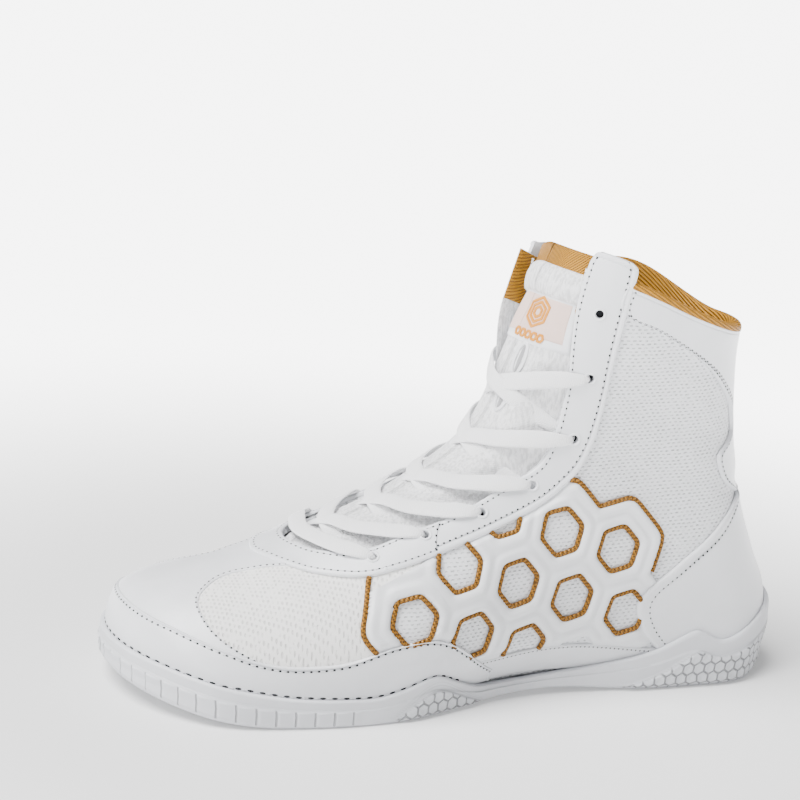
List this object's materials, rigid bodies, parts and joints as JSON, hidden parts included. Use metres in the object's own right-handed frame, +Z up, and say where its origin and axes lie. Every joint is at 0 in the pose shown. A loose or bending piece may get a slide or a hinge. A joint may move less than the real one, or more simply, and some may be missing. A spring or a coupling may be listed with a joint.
{
  "type": "wrestling shoe",
  "caption": "High laced wrestling shoe for the left foot: hollow knit upper with leather overlays and gold collar lining, open at the collar, on a ribbed rubber cup sole.",
  "frame": {"origin": "middle of the bounding box at the floor on which the shoe stands", "axes": "+Z up, the toe points along -X and the heel along +X, the outer (lateral) side faces -Y and the inner (medial) side +Y"},
  "size_m": [0.2854, 0.1054, 0.1763],
  "materials": {
    "white_leather": "smooth synthetic leather, soft sheen",
    "white_knit": "knit mesh, matt",
    "white_rubber": "moulded rubber, satin",
    "tongue_knit": "padded knit, matt",
    "gold_webbing": "ribbed webbing with a metallic thread",
    "gold_rubber": "moulded rubber, satin",
    "lace_cotton": "flat woven lace, matt",
    "insole_foam": "foam under cloth, matt",
    "label_satin": "woven label, soft sheen"
  },
  "bodies": {
    "root": {"cage_lateral": "white_leather", "cage_medial": "white_leather", "collar_binding": "gold_webbing", "collar_panel": "white_leather", "eyestay": "white_leather", "forefoot_disc": "gold_rubber", "heel_counter": "white_leather", "heel_disc": "gold_rubber", "heel_tab": "gold_webbing", "insole": "insole_foam", "lace_bar": "lace_cotton", "lace_cross_1": "lace_cotton", "lace_cross_2": "lace_cotton", "lace_cross_3": "lace_cotton", "lace_cross_4": "lace_cotton", "lace_cross_5": "lace_cotton", "outsole": "white_rubber", "toe_cap": "white_leather", "tongue": "tongue_knit", "tongue_label": "label_satin", "upper": "white_knit", "waist_band_lateral": "white_leather", "waist_band_medial": "white_leather"}
  },
  "joints": []
}
